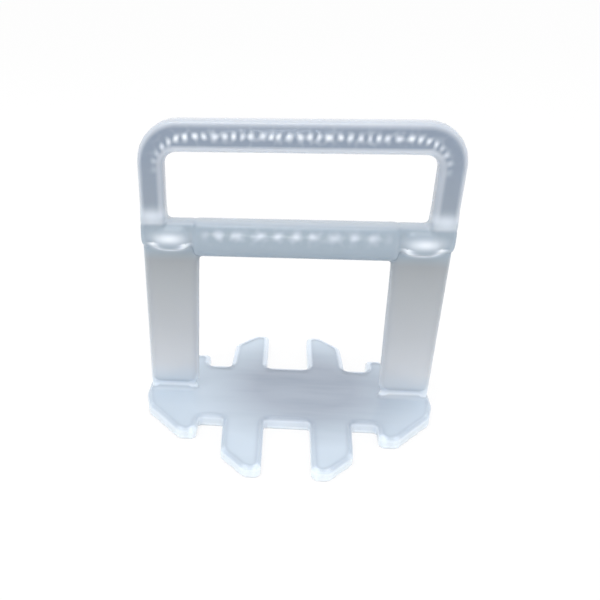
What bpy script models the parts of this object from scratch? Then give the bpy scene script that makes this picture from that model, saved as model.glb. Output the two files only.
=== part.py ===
"""Tile levelling clip, one moulded piece of natural polypropylene.

The clip stands on its comb plate. Two thin uprights rise from the plate, one on each side of
the window for the wedge, and a V groove round the foot of each lets it snap off. Above
the window lie a cross bar and a handle loop. X runs across the clip, Y runs from front to back,
and the origin is at the middle of the plate's underside.
"""

import math

import bmesh
import bpy
from mathutils import Vector

MM = 0.001

# Comb plate, in millimetres
plate_width = 41.0
plate_thickness = 1.7
plate_bar_depth = 14.3
plate_end_flat = 3.6
plate_end_slant = 0.8
plate_end_depth = 9.7
tip_thickness = 1.5
middle_gap = 6.3
inner_finger_width = 5.4
inner_finger_flare = 0.3
inner_finger_reach = 18.1
inner_finger_tip_flat = 2.2
inner_finger_tip_cut = 3.6
side_gap = 3.4
outer_finger_tip_flat = 2.4
outer_finger_reach = 10.6
corner_radius = 0.8
root_radius = 0.5
edge_run = 0.4
edge_drop = 0.3

# Uprights and the groove that they break at, in millimetres
frame_width = 40.0
upright_thickness = 1.5
window_width = 25.1
window_foot_width = 26.0
window_height = 21.0
upright_edge_run = 0.6
upright_edge_land = 0.5
groove_depth = 0.4
groove_side_depth = 0.5
groove_lower_rise = 1.1
groove_upper_rise = 0.8

# Cross bar, and the shoulder with its pad at each end, in millimetres
bar_height = 4.8
bar_depth = 4.0
bar_overlap = 0.7
shoulder_lift = 1.2
shoulder_depth = 3.1
shoulder_inset = 0.15
shoulder_proud = 0.1
shoulder_end_round = 0.6
pad_lift = 0.9
pad_drop = 0.5
pad_depth = 4.3
pad_inset = 0.7
pad_width = 5.5
pad_end_round = 1.6
corner_web_size = 0.6
corner_web_thickness = 1.25

# Handle loop, in millimetres
handle_opening_height = 8.6
handle_side_width = 3.25
handle_top_height = 3.8
handle_depth = 2.8
handle_flare_rise = 1.8
handle_ridge_drop = 0.1
handle_ridge_depth = 3.9
handle_foot_depth = 2.6
handle_outer_radius = 5.0
handle_inner_radius = 1.7

# Smoothness of the curves, and how square the crowned sections of the bars and the handle are
ARC_STEPS = 4
BEND_STEPS = 7
SECTION_POINTS = 24
BAR_SQUARENESS = 3.0
HANDLE_SQUARENESS = 5.0
LAND_SHARE = 0.8
ROUND_SHARE = 0.95
SNAP = 1e-7

# Small lengths that keep corners open and sink the pieces into each other, in millimetres
least_radius = 0.12
sink = 0.5

# Heights that follow from the sizes above
bar_bottom = plate_thickness + window_height
bar_top = bar_bottom + bar_height
shoulder_bottom = bar_bottom + shoulder_lift
shoulder_middle = (shoulder_bottom + bar_top) / 2
opening_top = bar_top + handle_opening_height
clip_top = opening_top + handle_top_height


def clear_scene():
    for item in list(bpy.data.objects):
        bpy.data.objects.remove(item, do_unlink=True)


def new_collection(name):
    collection = bpy.data.collections.new(name)
    bpy.context.scene.collection.children.link(collection)
    return collection


def arc_corner(before, corner, after, radius, steps):
    """Points of the arc that rounds one corner of an outline, from its first tangent to its last."""
    here = Vector(corner)
    back = (Vector(before) - here).normalized()
    forth = (Vector(after) - here).normalized()
    half_angle = back.angle(forth) / 2
    centre = here + (back + forth).normalized() * radius / math.sin(half_angle)
    run = radius / math.tan(half_angle)
    first = here + back * run - centre
    last = here + forth * run - centre
    return [centre + first.lerp(last, k / steps).normalized() * radius for k in range(steps + 1)]


def rounded_outline(corners, radii, steps):
    """Closed outline through the corners, each of them rounded by its own radius."""
    points = []
    for i, corner in enumerate(corners):
        following = corners[(i + 1) % len(corners)]
        points += arc_corner(corners[i - 1], corner, following, radii[i], steps)
    return points


def turns_outward(corners, i):
    """True where an outline that runs counter-clockwise has an outer corner."""
    here = Vector(corners[i])
    arriving = here - Vector(corners[i - 1])
    leaving = Vector(corners[(i + 1) % len(corners)]) - here
    return arriving.cross(leaving) > 0


def inset_corners(corners, distance):
    """Corners of the same outline with every side moved inward by the distance."""
    moved = []
    for i, corner in enumerate(corners):
        here = Vector(corner)
        arriving = (here - Vector(corners[i - 1])).normalized()
        leaving = (Vector(corners[(i + 1) % len(corners)]) - here).normalized()
        normals = arriving.orthogonal(), leaving.orthogonal()
        shift = (normals[0] + normals[1]) / (1 + normals[0].dot(normals[1]))
        moved.append(here + shift * distance)
    return moved


def loft(name, rings, collection):
    """Closed solid through rings of equally many points, with a flat cap at either end."""
    bm = bmesh.new()
    rows = [[bm.verts.new(Vector(point) * MM) for point in ring] for ring in rings]
    for low, high in zip(rows, rows[1:]):
        for i in range(len(low)):
            bm.faces.new((low[i - 1], low[i], high[i], high[i - 1]))
    bm.faces.new(rows[0])
    bm.faces.new(rows[-1])
    bmesh.ops.recalc_face_normals(bm, faces=bm.faces)
    mesh = bpy.data.meshes.new(name)
    bm.to_mesh(mesh)
    bm.free()
    piece = bpy.data.objects.new(name, mesh)
    collection.objects.link(piece)
    return piece


def comb_corners():
    """Corners of the plate seen from above, counter-clockwise, from the right-hand end."""
    bar_edge = plate_bar_depth / 2
    inner_near = middle_gap / 2
    inner_far = inner_near + inner_finger_width
    inner_root = inner_far + inner_finger_flare
    outer_near = inner_root + side_gap
    quarter = [
        (plate_width / 2, plate_end_flat / 2),
        (plate_width / 2 - plate_end_slant, plate_end_depth / 2),
        (outer_near + outer_finger_tip_flat, outer_finger_reach),
        (outer_near, outer_finger_reach),
        (outer_near, bar_edge),
        (inner_root, bar_edge),
        (inner_far, inner_finger_reach - inner_finger_tip_cut),
        (inner_near + inner_finger_tip_flat, inner_finger_reach),
        (inner_near, inner_finger_reach),
        (inner_near, bar_edge),
    ]
    back_left = [(-x, y) for x, y in reversed(quarter)]
    front_left = [(-x, -y) for x, y in quarter]
    front_right = [(x, -y) for x, y in reversed(quarter)]
    return quarter + back_left + front_left + front_right


def taper_fingers(plate):
    """Thins the fingers evenly from the edge of the plate's bar to their tips."""
    bar_edge = plate_bar_depth / 2 * MM
    reach = inner_finger_reach * MM
    bm = bmesh.new()
    bm.from_mesh(plate.data)
    for side in (-1, 1):
        everything = bm.verts[:] + bm.edges[:] + bm.faces[:]
        bmesh.ops.bisect_plane(
            bm, geom=everything, dist=SNAP, plane_co=(0, side * bar_edge, 0), plane_no=(0, side, 0)
        )
    for vert in bm.verts:
        along = max(0.0, abs(vert.co.y) - bar_edge) / (reach - bar_edge)
        vert.co.z *= 1 + along * (tip_thickness / plate_thickness - 1)
    bm.to_mesh(plate.data)
    bm.free()


def make_comb_plate(collection):
    """Plate with four fingers on each side, bevelled all round its upper edge."""
    corners = comb_corners()
    outward = [turns_outward(corners, i) for i in range(len(corners))]
    radii = [corner_radius if out else root_radius for out in outward]
    top_radii = [
        max(radius - edge_run, least_radius) if out else radius + edge_run
        for radius, out in zip(radii, outward)
    ]
    outline = rounded_outline(corners, radii, ARC_STEPS)
    top_outline = rounded_outline(inset_corners(corners, edge_run), top_radii, ARC_STEPS)
    shoulder = plate_thickness - edge_drop
    rings = [
        [(x, y, 0.0) for x, y in outline],
        [(x, y, shoulder) for x, y in outline],
        [(x, y, plate_thickness) for x, y in top_outline],
    ]
    plate = loft("levelling_clip", rings, collection)
    taper_fingers(plate)
    return plate


def upright_ring(inner_x, thickness, z):
    """Section of the right-hand upright: a flat strip whose four long edges are bevelled."""
    half = thickness / 2
    land = min(upright_edge_land, thickness * LAND_SHARE) / 2
    outer_x = frame_width / 2
    right = [(outer_x, -land), (outer_x, land), (outer_x - upright_edge_run, half)]
    left = [(inner_x + upright_edge_run, half), (inner_x, land), (inner_x, -land)]
    front = [(inner_x + upright_edge_run, -half), (outer_x - upright_edge_run, -half)]
    return [(x, y, z) for x, y in right + left + front]


def make_upright(side, collection):
    """Upright of one side, with the V groove across its faces and inner edge at the foot."""
    foot_x = window_foot_width / 2
    crease = plate_thickness + groove_lower_rise
    top = shoulder_middle + sink / 2
    neck = upright_thickness - 2 * groove_depth
    levels = [
        (foot_x, upright_thickness, plate_thickness - sink),
        (foot_x, upright_thickness, plate_thickness),
        (foot_x + groove_side_depth, neck, crease),
        (foot_x, upright_thickness, crease + groove_upper_rise),
        (window_width / 2, upright_thickness, bar_bottom),
        (window_width / 2, upright_thickness, top),
    ]
    rings = [upright_ring(inner_x, thick, z) for inner_x, thick, z in levels]
    mirrored = [[(side * x, y, z) for x, y, z in ring] for ring in rings]
    name = "upright_right" if side > 0 else "upright_left"
    return loft(name, mirrored, collection)


def crowned(value, squareness):
    """Sine or cosine made squarer, so that an oval gets flatter sides and rounder corners."""
    return math.copysign(abs(value) ** (2 / squareness), value)


def crowned_section(half_width, half_depth, squareness):
    """Section of a bar about the origin: crowned sides with a narrow flat, rounded corners."""
    step = 2 * math.pi / SECTION_POINTS
    flat = crowned(math.cos(step / 2), squareness)
    points = []
    for k in range(SECTION_POINTS):
        angle = (k + 0.5) * step
        across = crowned(math.cos(angle), squareness) / flat
        up = crowned(math.sin(angle), squareness) / flat
        points.append((across * half_width, up * half_depth))
    return points


def make_round_bar(name, left, right, bottom, top, depth, end_radius, collection):
    """Bar along X with a rounded section, whose ends close in with a radius of their own."""
    middle = (bottom + top) / 2
    end_radius = min(end_radius, ROUND_SHARE * (top - bottom) / 2, ROUND_SHARE * depth / 2)
    stations = []
    for k in range(BEND_STEPS + 1):
        turn = math.pi / 2 * (1 - k / BEND_STEPS)
        stations.append((end_radius * (1 - math.sin(turn)), end_radius * (1 - math.cos(turn))))
    places = [(left + inward, shrink) for inward, shrink in stations]
    places += [(right - inward, shrink) for inward, shrink in reversed(stations)]
    rings = []
    for x, shrink in places:
        half_height = (top - bottom) / 2 - shrink
        section = crowned_section(half_height, depth / 2 - shrink, BAR_SQUARENESS)
        rings.append([(x, across, middle + up) for up, across in section])
    return loft(name, rings, collection)


def make_cross_bar(collection):
    """Thick bar over the window; its ends reach a little way over the uprights."""
    reach = window_width / 2 + bar_overlap
    return make_round_bar(
        "cross_bar", -reach, reach, bar_bottom, bar_top, bar_depth, bar_overlap, collection
    )


def make_shoulder(side, collection):
    """Block over an upright, where the cross bar, the upright and the handle meet."""
    inner_end = window_width / 2 + shoulder_inset
    outer_end = frame_width / 2 + shoulder_proud
    left, right = sorted((side * inner_end, side * outer_end))
    name = "shoulder_right" if side > 0 else "shoulder_left"
    return make_round_bar(
        name, left, right, shoulder_bottom, bar_top, shoulder_depth, shoulder_end_round, collection
    )


def make_end_pad(side, collection):
    """Rounded pad that stands out from the front and the back of a shoulder."""
    inner_end = window_width / 2 + pad_inset
    left, right = sorted((side * inner_end, side * (inner_end + pad_width)))
    name = "end_pad_right" if side > 0 else "end_pad_left"
    bottom = bar_bottom + pad_lift
    top = bar_top - pad_drop
    return make_round_bar(name, left, right, bottom, top, pad_depth, pad_end_round, collection)


def handle_path(half_width, top, radius):
    """Side, bend, top, bend and side of the handle, as points in the plane of the clip."""
    levels = (shoulder_middle - sink / 2, bar_top - handle_ridge_drop, bar_top + handle_flare_rise)
    left = [Vector((-half_width, z)) for z in levels]
    right = [Vector((half_width, z)) for z in reversed(levels)]
    corners = [left[-1], (-half_width, top), (half_width, top), right[0]]
    bends = []
    for i in (1, 2):
        bends += arc_corner(corners[i - 1], corners[i], corners[i + 1], radius, BEND_STEPS)
    return left + bends + right


def make_handle(collection):
    """Loop over the cross bar: one rounded section, deeper at the feet, swept between two paths."""
    outer = handle_path(frame_width / 2, clip_top, handle_outer_radius)
    inner = handle_path(frame_width / 2 - handle_side_width, opening_top, handle_inner_radius)
    foot_depths = [handle_foot_depth, handle_ridge_depth, handle_depth]
    even = [handle_depth] * (len(outer) - 2 * len(foot_depths))
    depths = foot_depths + even + foot_depths[::-1]
    rings = []
    for far, near, depth in zip(outer, inner, depths):
        middle = (far + near) / 2
        across = (far - near) / 2
        outward = across.normalized()
        ring = []
        for u, v in crowned_section(across.length, depth / 2, HANDLE_SQUARENESS):
            place = middle + outward * u
            ring.append((place.x, v, place.y))
        rings.append(ring)
    return loft("handle", rings, collection)


def make_corner_web(side, upward, collection):
    """Small fillet in the corner between the cross bar and an upright or a side of the handle."""
    if upward:
        wall, floor, lift = frame_width / 2 - handle_side_width, bar_top, 1
    else:
        wall, floor, lift = window_width / 2, bar_bottom, -1
    along_floor = (wall - corner_web_size, floor)
    along_wall = (wall, floor + lift * corner_web_size)
    arc = arc_corner(along_floor, (wall, floor), along_wall, corner_web_size, ARC_STEPS)
    buried = [
        Vector((wall + sink, floor + lift * corner_web_size)),
        Vector((wall + sink, floor - lift * sink)),
        Vector((wall - corner_web_size, floor - lift * sink)),
    ]
    half = corner_web_thickness / 2
    rings = [[(side * p.x, y, p.y) for p in arc + buried] for y in (-half, half)]
    place = "handle" if upward else "window"
    hand = "right" if side > 0 else "left"
    return loft(f"{place}_web_{hand}", rings, collection)


def join(body, addition):
    """Adds one solid to the body by a Boolean union that stays on the object."""
    addition.hide_render = True
    addition.display_type = "WIRE"
    union = body.modifiers.new(f"join {addition.name}", "BOOLEAN")
    union.operation = "UNION"
    union.solver = "EXACT"
    union.object = addition


def polypropylene():
    """Natural, unpigmented polypropylene: milky, pale and slightly blue."""
    material = bpy.data.materials.new("natural polypropylene")
    material.use_nodes = True
    shader = material.node_tree.nodes["Principled BSDF"]
    shader.inputs["Base Color"].default_value = (0.62, 0.68, 0.74, 1.0)
    shader.inputs["Roughness"].default_value = 0.32
    shader.inputs["Metallic"].default_value = 0.0
    shader.inputs["IOR"].default_value = 1.49
    return material


def main():
    clear_scene()
    clip = new_collection("levelling_clip")
    joined = new_collection("joined_shapes")
    body = make_comb_plate(clip)
    body.data.materials.append(polypropylene())
    for side in (-1, 1):
        join(body, make_upright(side, joined))
    join(body, make_cross_bar(joined))
    for side in (-1, 1):
        join(body, make_shoulder(side, joined))
        join(body, make_end_pad(side, joined))
    join(body, make_handle(joined))
    for side in (-1, 1):
        join(body, make_corner_web(side, False, joined))
        join(body, make_corner_web(side, True, joined))
    body.data.shade_smooth()
    body.data.set_sharp_from_angle(angle=math.radians(35))


main()
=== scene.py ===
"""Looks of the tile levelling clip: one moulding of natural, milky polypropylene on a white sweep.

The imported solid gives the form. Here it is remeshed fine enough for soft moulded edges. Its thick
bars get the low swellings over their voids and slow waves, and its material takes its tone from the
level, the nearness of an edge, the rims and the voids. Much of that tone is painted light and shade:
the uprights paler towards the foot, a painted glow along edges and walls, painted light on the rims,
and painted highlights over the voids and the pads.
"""

import math
from collections import namedtuple

import bpy
from mathutils import Matrix, Vector, noise


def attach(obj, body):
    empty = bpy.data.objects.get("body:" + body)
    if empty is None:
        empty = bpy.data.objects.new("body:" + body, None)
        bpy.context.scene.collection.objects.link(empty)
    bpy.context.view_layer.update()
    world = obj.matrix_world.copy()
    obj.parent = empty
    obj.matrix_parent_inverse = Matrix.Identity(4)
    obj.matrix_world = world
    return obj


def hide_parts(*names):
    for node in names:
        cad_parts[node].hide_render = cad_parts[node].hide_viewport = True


MM = 0.001
NODE = "levelling_clip"

# A share that grows evenly from 0 at the start to its top at the end, and stays level on both
# sides of them. The end may be the lower of the two
Rise = namedtuple("Rise", "start end top", defaults=[1.0])

# Voids in a row, whose pale tint is a painted highlight: the spacing of its beads, half the height of
# a bead, how far the row reaches from the middle of the clip, the length over which it fades there,
# and its strength
BeadRow = namedtuple("BeadRow", "pitch half_height reach fade strength")

# Painted highlight in an oval patch, which is there on both halves of the clip; the surface swells under
# it as over the voids
HighlightPatch = namedtuple("HighlightPatch", "x z half_width half_height strength")

# Camera, fitted to the photograph: focal length and axis in its pixels, sensor in millimetres,
# place and distances in metres, angles in degrees
IMAGE_SIDE = 600
FOCAL_PIXELS = 673.9
AXIS_PIXEL = (217.9, 366.8)
SENSOR_WIDTH = 36.0
CAMERA_PLACE = (-0.00171, -0.08462, 0.05457)
CAMERA_YAW = 5.74
CAMERA_PITCH = 30.0
CAMERA_ROLL = -0.54
NEAREST_SEEN = 0.005
FARTHEST_SEEN = 20

# Fine surface of the moulding, in millimetres
VOXEL = 0.21
SMOOTH_PASSES = 3
SMOOTH_FACTOR = 0.5

# Middle line of the handle, and the levels over which the flow marks set in, in millimetres
HANDLE_MIDDLE_X = 18.375
HANDLE_MIDDLE_Z = 37.9
HANDLE_BEND = 3.35
MARK_LEVELS = Rise(23.0, 23.6)

# Slow waves of the bars, in millimetres
WAVE_SPACING = 0.9
WAVE_HEIGHT = 0.012

# Rows of voids in the cross bar and the handle, in millimetres, tinted pale as painted highlights. The
# handle's row lies a little outside the middle line, and moves inwards from the bends on
BAR_BEADS = BeadRow(pitch=2.4, half_height=0.55, reach=12.3, fade=1.5, strength=0.5)
BAR_BEAD_LEVEL = 26.0
HANDLE_BEADS = BeadRow(pitch=1.15, half_height=0.4, reach=22.0, fade=7.0, strength=0.95)
HANDLE_BEAD_SHIFT = 0.2
BEND_BEAD_SHIFT = Rise(13.5, 17.5, top=0.8)

# Beads of a row: how high the surface swells over a full one, how narrow they are, and how far they
# drift, as a share of their pitch, over a length of so many pitches
BEAD_HEIGHT = 0.04
BEAD_SHARPNESS = 1.6
BEAD_DRIFT = 0.45
DRIFT_PITCHES = 2

# Mottling around the beads, in millimetres, and the patches of painted highlight on the pads and over
# them
CLOUD_SPACING = 0.7
CLOUD_HALF_HEIGHT = 1.2
CLOUD_SHARE = 0.4
PAD_PATCH = HighlightPatch(x=16.2, z=25.4, half_width=2.1, half_height=0.7, strength=0.85)
FOOT_PATCH = HighlightPatch(x=18.3, z=28.3, half_width=2.2, half_height=0.8, strength=0.55)
PAD_SMILE = HighlightPatch(x=16.3, z=24.7, half_width=2.2, half_height=1.15, strength=0.9)
SMILE_THICKNESS = 0.3

# Painted light on the rims of the handle and on the top of the cross bar, whose sides that face up
# and down are made paler as if lit from above and from the floor. In millimetres from the handle's
# middle line, along it, or up from the plate's underside
OUTER_RIM = Rise(1.1, 1.7, top=0.8)
INNER_RIM = Rise(0.85, 1.3)
BAR_RIM = Rise(27.0, 27.4, top=0.45)
HANDLE_FOOT = Rise(27.5, 29.0)
HANDLE_SIDE = Rise(15.0, 20.0)
SIDE_NARROWING = 0.2
SIDE_INNER_FADING = 0.5

# Tone of the polypropylene by level in millimetres, up to the end of the span. Partly painted light
# and shade: the uprights are painted paler towards their foot, as if lit by the plate below, and
# darker at the top, in the shade of the bars; the white at 2.4 mm is a painted highlight along the
# groove at their foot
TONE_SPAN = 40.0
TONES_AND_PAINTED_SHADE = (
    (1.8, "#ABB4C1"),
    (2.4, "#FFFFFF"),
    (3.4, "#E8ECF1"),
    (12.0, "#CFD3D8"),
    (22.0, "#B8BDC1"),
    (23.5, "#B8C6D2"),
    (27.0, "#B8C6D2"),
    (30.0, "#A9B4C1"),
    (38.0, "#A1AEBF"),
)

# Flow streaks in the plate, which lies below these levels. A streak's length, depth and height are
# in millimetres, and it shows where its noise is high
PLATE_LEVELS = Rise(1.9, 1.75)
STREAK_COLOUR = "#909AA8"
STREAK_SIZE = (14.0, 2.4, 2.4)
STREAK_DETAIL = 2.0
STREAK_NOISE = Rise(0.45, 0.75, top=0.4)

# Paler tips of the fingers, by distance in millimetres from a centre on the plate: painted light, as
# the narrow tips take more light through their sides, which leaves the middle of the plate darker as
# painted shade. Along X the distance counts for less, and along Z for nothing
TIP_LIGHT_COLOUR = "#D8E5F1"
TIP_CENTRE = (2.5, 1.5, 0.0)
TIP_STRETCH = (0.85, 1.0, 0.0)
TIP_REACH = Rise(6.0, 15.0, top=0.8)
TIP_LEVELS = Rise(6.0, 3.0)

# Painted light along an edge, by its nearness, each band with its share: a darker line of painted
# shade, as where the side wall shows through the surface, and a pale edge outside it, a painted glow
# of light leaving through the thin edge. The nearness is the share of the samples, sent into the
# plastic, that meet its surface again within a depth in millimetres. The bands are wider at the back
# and fainter above the plate
EDGE_DEPTH = 1.2
EDGE_SAMPLES = 32
EDGE_NEARNESS = Rise(1.0, 0.0)
EDGE_LIGHT_BANDS = (
    (0.00, "#8A94A4", 0.0),
    (0.08, "#838EA0", 0.15),
    (0.17, "#838EA0", 0.36),
    (0.22, "#E6EEF8", 0.1),
    (0.32, "#E6EEF8", 0.8),
)
BACK_WIDENING = Rise(1.0, 4.0, top=0.9)
EDGE_FADING = Rise(2.5, 4.0, top=0.5)

# Other pale parts, all painted light: the rims, painted as if lit from above and from the floor; the
# plate's walls, a painted glow of light leaving through them; and the voids and pad patches, tinted
# pale as painted highlights. A wall is where the surface's normal points neither up nor down
RIM_LIGHT_COLOUR = "#EEF3FA"
WALL_GLOW_COLOUR = "#EEF6FF"
WALL_UPRIGHT = Rise(0.8, 0.3, top=0.75)
VOID_HIGHLIGHT_COLOUR = "#F2F7FE"

# Polypropylene itself: gloss of a smooth mould, scattering in millimetres, the share that is clear
# by how milky the place is, and absorption for each metre
POLYPROPYLENE_IOR = 1.49
SURFACE_ROUGHNESS = 0.2
SCATTER_SHARE = 0.5
SCATTER_SPREAD = (1.0, 1.1, 1.2)
SCATTER_SCALE = 0.5
CLEAR_ROUGHNESS = 0.06
CLEAR_SHARE = Rise(1.0, 0.0, top=0.3)
HAZE_COLOUR = "#B8C4D4"
HAZE_DENSITY = 200.0

# Studio, in metres and watts
FLOOR_SIZE = 20
FLOOR_COLOUR = "#F2F2F2"
FLOOR_WHITENESS = 0.8
BRIGHT_SIDE = (0.0, 0.45, 1.0)
SURROUND_LEVELS = (0.7, 1.12)
LAMP_AIM = (0.0, 0.0, 0.03)
KEY_PLACE = (-0.01, -0.3, 0.014)
KEY_SIZE = (0.05, 0.02)
KEY_POWER = 0.03
OVERHEAD_PLACE = (-0.05, -0.12, 0.4)
OVERHEAD_SIZE = (0.25, 0.25)
OVERHEAD_POWER = 0.5

# Colour sockets of a Mix node, whose names its other sockets bear too
MIX_SHARE = 0
MIX_UNDER = 6
MIX_OVER = 7


def linear(hex_colour):
    """Linear colour of an sRGB hex value."""
    channels = [int(hex_colour[i:i + 2], 16) / 255 for i in (1, 3, 5)]
    bent = [c / 12.92 if c <= 0.04045 else ((c + 0.055) / 1.055) ** 2.4 for c in channels]
    return (*bent, 1.0)


def add_node(tree, kind, settings=None, sockets=None):
    """Adds a node with its attributes; a socket takes a value, another socket or another node."""
    node = tree.nodes.new(kind)
    for name, value in (settings or {}).items():
        setattr(node, name, value)
    for name, value in (sockets or {}).items():
        if isinstance(value, bpy.types.Node):
            value = next(output for output in value.outputs if output.enabled)
        if isinstance(value, bpy.types.NodeSocket):
            tree.links.new(value, node.inputs[name])
        else:
            node.inputs[name].default_value = value
    return node


def new_tree(owner):
    """Empty node tree of a material or a world."""
    owner.use_nodes = True
    owner.node_tree.nodes.clear()
    return owner.node_tree


def camera_rotation():
    """Axes of a camera that looks down by the pitch, turned by the yaw and rolled."""
    yaw, pitch, roll = (math.radians(a) for a in (CAMERA_YAW, CAMERA_PITCH, CAMERA_ROLL))
    ahead = Vector((-math.sin(yaw), math.cos(yaw), 0))
    look = ahead * math.cos(pitch) - Vector((0, 0, math.sin(pitch)))
    right = Vector((math.cos(yaw), math.sin(yaw), 0))
    up = right.cross(look)
    across = right * math.cos(roll) + up * math.sin(roll)
    upward = up * math.cos(roll) - right * math.sin(roll)
    return Matrix((across, upward, -look)).transposed()


def make_camera():
    """Camera at the photograph's place and angle, shifted so that its axis meets the same pixel."""
    camera = bpy.data.cameras.new("camera")
    camera.sensor_width = SENSOR_WIDTH
    camera.lens = SENSOR_WIDTH * FOCAL_PIXELS / IMAGE_SIDE
    camera.shift_x = 0.5 - AXIS_PIXEL[0] / IMAGE_SIDE
    camera.shift_y = AXIS_PIXEL[1] / IMAGE_SIDE - 0.5
    camera.clip_start = NEAREST_SEEN
    camera.clip_end = FARTHEST_SEEN
    holder = bpy.data.objects.new("camera", camera)
    holder.matrix_world = Matrix.Translation(CAMERA_PLACE) @ camera_rotation().to_4x4()
    bpy.context.scene.collection.objects.link(holder)
    bpy.context.scene.camera = holder


def share_at(value, rise):
    """Share that a rise has reached at a value."""
    reached = (value - rise.start) / (rise.end - rise.start)
    return rise.top * min(max(reached, 0.0), 1.0)


def along_handle(place):
    """Distance along the middle line of the handle, and outwards from that line."""
    x, z = abs(place.x), place.z
    turn_x, turn_z = HANDLE_MIDDLE_X - HANDLE_BEND, HANDLE_MIDDLE_Z - HANDLE_BEND
    if x < turn_x:
        return x, z - HANDLE_MIDDLE_Z
    if z < turn_z:
        return turn_x + HANDLE_BEND * math.pi / 2 + turn_z - z, x - HANDLE_MIDDLE_X
    angle = math.atan2(x - turn_x, z - turn_z)
    return turn_x + HANDLE_BEND * angle, math.hypot(x - turn_x, z - turn_z) - HANDLE_BEND


def bead_row(run, offset, beads, place):
    """Share of the voids that thick polypropylene leaves in a row along the middle of a bar, tinted pale
    as a painted highlight.
    """
    left = share_at(run, Rise(beads.reach, beads.reach - beads.fade))
    drift = BEAD_DRIFT * noise.noise(place / (DRIFT_PITCHES * beads.pitch))
    swelling = abs(math.cos(math.pi * (run / beads.pitch + drift))) ** BEAD_SHARPNESS
    bead = swelling * math.exp(-(offset / beads.half_height) ** 2)
    cloudiness = CLOUD_SHARE * noise.noise(place / CLOUD_SPACING)
    cloud = cloudiness * math.exp(-(offset / CLOUD_HALF_HEIGHT) ** 2)
    return beads.strength * left * (bead + cloud)


def from_middle(patch, place):
    """Distance from the middle of a patch, across and up, each in half sizes of the patch."""
    across = (abs(place.x) - patch.x) / patch.half_width
    up = (place.z - patch.z) / patch.half_height
    return across, up


def highlight_patch(place, patch):
    """Share of a painted highlight in an oval patch, which thins out from its middle."""
    across, up = from_middle(patch, place)
    return patch.strength * math.exp(-across ** 2 - up ** 2)


def highlight_smile(place):
    """Share of a painted highlight in an arc along the lower rim of a pad."""
    across, up = from_middle(PAD_SMILE, place)
    if up > 0:
        return 0.0
    off_rim = math.hypot(across, up) - 1
    return PAD_SMILE.strength * math.exp(-(off_rim / SMILE_THICKNESS) ** 2)


def void_and_highlight_at(place):
    """Share of voids and painted highlights under a point of the surface, whose place is in millimetres.
    """
    bar = bead_row(abs(place.x), place.z - BAR_BEAD_LEVEL, BAR_BEADS, place)
    run, offset = along_handle(place)
    inward = share_at(run, BEND_BEAD_SHIFT) - HANDLE_BEAD_SHIFT
    handle = bead_row(run, offset + inward, HANDLE_BEADS, place)
    patches = highlight_patch(place, PAD_PATCH) + highlight_patch(place, FOOT_PATCH) + highlight_smile(place)
    return bar + handle + patches


def rim_light_at(place):
    """Share of the painted rim light: both rims of the handle, and the top of the cross bar."""
    run, offset = along_handle(place)
    on_handle = share_at(place.z, HANDLE_FOOT)
    on_side = share_at(run, HANDLE_SIDE)
    offset *= 1 + SIDE_NARROWING * on_side
    outer = share_at(offset, OUTER_RIM)
    inner = share_at(-offset, INNER_RIM) * (1 - SIDE_INNER_FADING * on_side)
    return max(on_handle * (outer + inner), share_at(place.z, BAR_RIM) - on_handle)


def add_flow_marks(mesh):
    """Swells the surface over the voids and painted highlights, adds slow waves to the bars, and keeps
    their shares and the painted rim light.
    """
    voids_and_highlights = []
    rim_light = []
    moves = []
    for vert in mesh.vertices:
        place = vert.co / MM
        on_bars = share_at(place.z, MARK_LEVELS)
        void_and_highlight = on_bars * void_and_highlight_at(place)
        wave = on_bars * WAVE_HEIGHT * noise.noise(place / WAVE_SPACING)
        voids_and_highlights.append(void_and_highlight)
        rim_light.append(rim_light_at(place))
        moves.append((wave + BEAD_HEIGHT * void_and_highlight) * MM * vert.normal)
    for vert, move in zip(mesh.vertices, moves):
        vert.co += move
    mesh.attributes.new("voids_and_highlights", "FLOAT", "POINT").data.foreach_set("value", voids_and_highlights)
    mesh.attributes.new("rim_light", "FLOAT", "POINT").data.foreach_set("value", rim_light)


def make_moulding(solid, material):
    """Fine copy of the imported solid, with its sharp edges eased as a mould leaves them."""
    moulding = bpy.data.objects.new("clip_moulding", solid.data.copy())
    bpy.context.scene.collection.objects.link(moulding)
    moulding.matrix_world = solid.matrix_world
    remesh = moulding.modifiers.new("fine surface", "REMESH")
    remesh.mode = "VOXEL"
    remesh.voxel_size = VOXEL * MM
    smooth = moulding.modifiers.new("eased edges", "SMOOTH")
    smooth.factor = SMOOTH_FACTOR
    smooth.iterations = SMOOTH_PASSES
    depsgraph = bpy.context.evaluated_depsgraph_get()
    fine = bpy.data.meshes.new_from_object(moulding.evaluated_get(depsgraph))
    moulding.modifiers.clear()
    moulding.data = fine
    add_flow_marks(fine)
    fine.shade_smooth()
    fine.materials.clear()
    fine.materials.append(material)
    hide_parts(NODE)
    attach(moulding, "root")


def rise_sockets(value, rise, unit=1.0):
    """Sockets of a Map Range node that give the share that a rise has reached at a value."""
    return {
        "Value": value,
        "From Min": rise.start * unit,
        "From Max": rise.end * unit,
        "To Max": rise.top,
    }


def set_stops(ramp, stops):
    """Stops of a colour ramp, each with a place from 0 to 1, a colour and a share."""
    elements = ramp.color_ramp.elements
    elements.remove(elements[1])
    for number, (place, colour, share) in enumerate(stops):
        element = elements[0] if number == 0 else elements.new(place)
        element.position = place
        element.color = (*linear(colour)[:3], share)


def tone_and_painted_shade_by_level(tree, height):
    """Tone of the moulding from the plate up to the handle, with painted shade down the uprights and a
    painted highlight in the groove at their foot.
    """
    span = Rise(0.0, TONE_SPAN)
    level = add_node(tree, "ShaderNodeMapRange", sockets=rise_sockets(height, span, MM))
    tones = add_node(tree, "ShaderNodeValToRGB", sockets={"Fac": level})
    set_stops(tones, [(level_mm / TONE_SPAN, tone, 1.0) for level_mm, tone in TONES_AND_PAINTED_SHADE])
    return tones.outputs["Color"]


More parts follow.
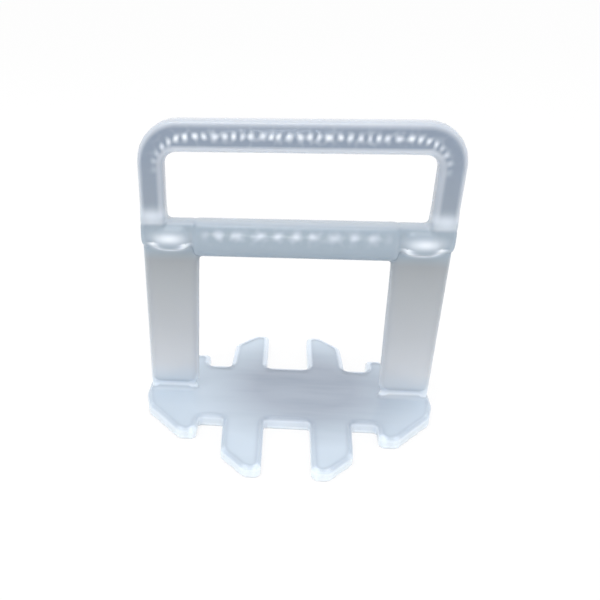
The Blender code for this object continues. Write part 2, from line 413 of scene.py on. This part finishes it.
def plate_streaks(tree, colour, place, on_plate):
    """Colour with the flow streaks of the plate, drawn out along X as the plastic ran."""
    drawn_out = add_node(tree, "ShaderNodeVectorMath", {"operation": "DIVIDE"}, {
        0: place,
        1: [length * MM for length in STREAK_SIZE],
    })
    flow = add_node(tree, "ShaderNodeTexNoise", sockets={
        "Vector": drawn_out,
        "Scale": 1.0,
        "Detail": STREAK_DETAIL,
    })
    streak = add_node(tree, "ShaderNodeMapRange", sockets=rise_sockets(flow, STREAK_NOISE))
    share = add_node(tree, "ShaderNodeMath", {"operation": "MULTIPLY"}, {0: streak, 1: on_plate})
    return add_node(tree, "ShaderNodeMix", {"data_type": "RGBA"}, {
        MIX_SHARE: share,
        MIX_UNDER: colour,
        MIX_OVER: linear(STREAK_COLOUR),
    })


def paint_light_on_tips(tree, colour, place, height):
    """Colour made paler towards the tips of the fingers and the ends of the plate, as painted light."""
    aside = add_node(tree, "ShaderNodeVectorMath", {"operation": "SUBTRACT"}, {
        0: place,
        1: [length * MM for length in TIP_CENTRE],
    })
    flat = add_node(tree, "ShaderNodeVectorMath", {"operation": "MULTIPLY"}, {0: aside, 1: TIP_STRETCH})
    distance = add_node(tree, "ShaderNodeVectorMath", {"operation": "LENGTH"}, {0: flat})
    far = add_node(tree, "ShaderNodeMapRange", sockets=rise_sockets(distance, TIP_REACH, MM))
    low = add_node(tree, "ShaderNodeMapRange", sockets=rise_sockets(height, TIP_LEVELS, MM))
    share = add_node(tree, "ShaderNodeMath", {"operation": "MULTIPLY"}, {0: far, 1: low})
    return add_node(tree, "ShaderNodeMix", {"data_type": "RGBA"}, {
        MIX_SHARE: share,
        MIX_UNDER: colour,
        MIX_OVER: linear(TIP_LIGHT_COLOUR),
    })


def paint_rim_light(tree, colour):
    """Colour with painted rim light on the handle and the cross bar."""
    rim_light = add_node(tree, "ShaderNodeAttribute", {"attribute_name": "rim_light"})
    return add_node(tree, "ShaderNodeMix", {"data_type": "RGBA"}, {
        MIX_SHARE: rim_light.outputs["Fac"],
        MIX_UNDER: colour,
        MIX_OVER: linear(RIM_LIGHT_COLOUR),
    })


def paint_edge_light(tree, colour, depth, height):
    """Colour with painted light along each edge, a darker line of painted shade and a pale band of
    painted glow, and the share of those bands.
    """
    seen = add_node(tree, "ShaderNodeAmbientOcclusion", {"inside": True, "samples": EDGE_SAMPLES}, {
        "Distance": EDGE_DEPTH * MM,
    }).outputs["AO"]
    nearness = add_node(tree, "ShaderNodeMapRange", sockets=rise_sockets(seen, EDGE_NEARNESS))
    back = add_node(tree, "ShaderNodeMapRange", sockets=rise_sockets(depth, BACK_WIDENING, MM))
    widened = add_node(tree, "ShaderNodeMath", {"operation": "MULTIPLY_ADD"}, {
        0: nearness,
        1: back,
        2: nearness,
    })
    bands = add_node(tree, "ShaderNodeValToRGB", sockets={"Fac": widened})
    set_stops(bands, EDGE_LIGHT_BANDS)
    fading = add_node(tree, "ShaderNodeMapRange", sockets=rise_sockets(height, EDGE_FADING, MM))
    left = add_node(tree, "ShaderNodeMath", {"operation": "SUBTRACT"}, {0: 1.0, 1: fading})
    share = add_node(tree, "ShaderNodeMath", {"operation": "MULTIPLY"}, {
        0: bands.outputs["Alpha"],
        1: left,
    })
    banded = add_node(tree, "ShaderNodeMix", {"data_type": "RGBA"}, {
        MIX_SHARE: share,
        MIX_UNDER: colour,
        MIX_OVER: bands.outputs["Color"],
    })
    return banded, share


def paint_wall_glow(tree, colour, on_plate):
    """Colour made paler on the upright edges of the plate, a painted glow of light leaving through them.
    """
    normal = add_node(tree, "ShaderNodeNewGeometry").outputs["Normal"]
    split = add_node(tree, "ShaderNodeSeparateXYZ", sockets={"Vector": normal})
    level = add_node(tree, "ShaderNodeMath", {"operation": "ABSOLUTE"}, {0: split.outputs["Z"]})
    upright = add_node(tree, "ShaderNodeMapRange", sockets=rise_sockets(level, WALL_UPRIGHT))
    share = add_node(tree, "ShaderNodeMath", {"operation": "MULTIPLY"}, {0: upright, 1: on_plate})
    return add_node(tree, "ShaderNodeMix", {"data_type": "RGBA"}, {
        MIX_SHARE: share,
        MIX_UNDER: colour,
        MIX_OVER: linear(WALL_GLOW_COLOUR),
    })


def moulding_colour_and_light(tree):
    """Colour of the moulding with its painted light and shade, paler where light leaves it easily, and
    the share that is milkier.
    """
    place = add_node(tree, "ShaderNodeTexCoord").outputs["Object"]
    split = add_node(tree, "ShaderNodeSeparateXYZ", sockets={"Vector": place})
    depth, height = split.outputs["Y"], split.outputs["Z"]
    on_plate = add_node(tree, "ShaderNodeMapRange", sockets=rise_sockets(height, PLATE_LEVELS, MM))
    colour = tone_and_painted_shade_by_level(tree, height)
    colour = plate_streaks(tree, colour, place, on_plate)
    colour = paint_light_on_tips(tree, colour, place, height)
    colour = paint_rim_light(tree, colour)
    colour, bands = paint_edge_light(tree, colour, depth, height)
    colour = paint_wall_glow(tree, colour, on_plate)
    voids_and_highlights = add_node(tree, "ShaderNodeAttribute", {"attribute_name": "voids_and_highlights"}).outputs["Fac"]
    milkier = add_node(tree, "ShaderNodeMath", {"operation": "MAXIMUM"}, {0: voids_and_highlights, 1: bands})
    # Painted highlight: the voids and the pad patches are tinted near white
    colour = add_node(tree, "ShaderNodeMix", {"data_type": "RGBA"}, {
        MIX_SHARE: voids_and_highlights,
        MIX_UNDER: colour,
        MIX_OVER: linear(VOID_HIGHLIGHT_COLOUR),
    })
    return colour, milkier


def polypropylene():
    """Natural polypropylene, moulded without pigment.

    Part of it is milky and scatters light under its glossy surface, and part is clear and absorbs
    some light, so the eye sees a soft blue-grey body. Its paler edges, rims, voids and pads are light
    and highlights painted into its colour.
    """
    material = bpy.data.materials.new("natural_polypropylene")
    tree = new_tree(material)
    tone, milkier = moulding_colour_and_light(tree)
    milky = add_node(tree, "ShaderNodeBsdfPrincipled", sockets={
        "Base Color": tone,
        "Roughness": SURFACE_ROUGHNESS,
        "IOR": POLYPROPYLENE_IOR,
        "Subsurface Weight": SCATTER_SHARE,
        "Subsurface Radius": SCATTER_SPREAD,
        "Subsurface Scale": SCATTER_SCALE * MM,
    })
    clear = add_node(tree, "ShaderNodeBsdfGlass", sockets={
        "Color": tone,
        "Roughness": CLEAR_ROUGHNESS,
        "IOR": POLYPROPYLENE_IOR,
    })
    surface = add_node(tree, "ShaderNodeMixShader", sockets={
        "Fac": add_node(tree, "ShaderNodeMapRange", sockets=rise_sockets(milkier, CLEAR_SHARE)),
        1: milky,
        2: clear,
    })
    haze = add_node(tree, "ShaderNodeVolumeAbsorption", sockets={
        "Color": linear(HAZE_COLOUR),
        "Density": HAZE_DENSITY,
    })
    add_node(tree, "ShaderNodeOutputMaterial", sockets={"Surface": surface, "Volume": haze})
    return material


def white_where_seen(tree, lit, whiteness, others=()):
    """Mixes plain white into a lit shader, for the camera's rays and those of some other kinds."""
    path = add_node(tree, "ShaderNodeLightPath")
    seen = path.outputs["Is Camera Ray"]
    for other in others:
        seen = add_node(tree, "ShaderNodeMath", {"operation": "MAXIMUM"}, {
            0: seen,
            1: path.outputs[other],
        })
    share = add_node(tree, "ShaderNodeMath", {"operation": "MULTIPLY"}, {0: seen, 1: whiteness})
    white = add_node(tree, "ShaderNodeEmission", sockets={"Strength": 1.0})
    return add_node(tree, "ShaderNodeMixShader", sockets={"Fac": share, 1: lit, 2: white})


def make_floor():
    """Sweep of matt white paper, which the camera sees nearly white, with a faint soft shadow."""
    bpy.ops.mesh.primitive_plane_add(size=FLOOR_SIZE)
    floor = bpy.context.object
    floor.name = "floor"
    material = bpy.data.materials.new("matt_white_paper")
    tree = new_tree(material)
    lit = add_node(tree, "ShaderNodeBsdfDiffuse", sockets={"Color": linear(FLOOR_COLOUR)})
    others = ("Is Glossy Ray", "Is Transmission Ray")
    surface = white_where_seen(tree, lit, FLOOR_WHITENESS, others)
    add_node(tree, "ShaderNodeOutputMaterial", sockets={"Surface": surface})
    floor.data.materials.append(material)


def make_light(name, place, size, power):
    """Rectangular lamp that is aimed at the upper half of the clip."""
    lamp = bpy.data.lights.new(name, "AREA")
    lamp.shape = "RECTANGLE"
    lamp.size, lamp.size_y = size
    lamp.energy = power
    holder = bpy.data.objects.new(name, lamp)
    holder.location = place
    aim = Vector(LAMP_AIM) - Vector(place)
    holder.rotation_euler = aim.to_track_quat("-Z", "Y").to_euler()
    bpy.context.scene.collection.objects.link(holder)


def make_world():
    """Soft surround: bright overhead and behind the clip, dimmer on the camera's side."""
    world = bpy.data.worlds.new("studio")
    bpy.context.scene.world = world
    tree = new_tree(world)
    direction = add_node(tree, "ShaderNodeTexCoord").outputs["Generated"]
    aimed = add_node(tree, "ShaderNodeVectorMath", {"operation": "DOT_PRODUCT"}, {
        0: direction,
        1: Vector(BRIGHT_SIDE).normalized(),
    })
    level = add_node(tree, "ShaderNodeMapRange", sockets={
        "Value": aimed,
        "From Min": -1.0,
        "To Min": SURROUND_LEVELS[0],
        "To Max": SURROUND_LEVELS[1],
    })
    lit = add_node(tree, "ShaderNodeBackground", sockets={"Color": linear("#FFFFFF"), "Strength": level})
    surface = white_where_seen(tree, lit, 1.0)
    add_node(tree, "ShaderNodeOutputWorld", sockets={"Surface": surface})


def make_studio():
    """Floor, surround and the two lamps."""
    make_floor()
    make_world()
    make_light("key", KEY_PLACE, KEY_SIZE, KEY_POWER)
    make_light("overhead", OVERHEAD_PLACE, OVERHEAD_SIZE, OVERHEAD_POWER)


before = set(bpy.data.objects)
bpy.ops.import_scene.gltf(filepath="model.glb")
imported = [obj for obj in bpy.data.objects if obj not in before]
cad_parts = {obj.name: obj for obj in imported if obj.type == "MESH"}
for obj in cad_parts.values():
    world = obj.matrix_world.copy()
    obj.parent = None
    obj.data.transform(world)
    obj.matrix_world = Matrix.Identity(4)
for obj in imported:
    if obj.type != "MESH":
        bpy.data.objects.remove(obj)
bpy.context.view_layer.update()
bpy.context.scene.view_settings.view_transform = "Standard"
make_camera()
make_moulding(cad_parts[NODE], polypropylene())
make_studio()
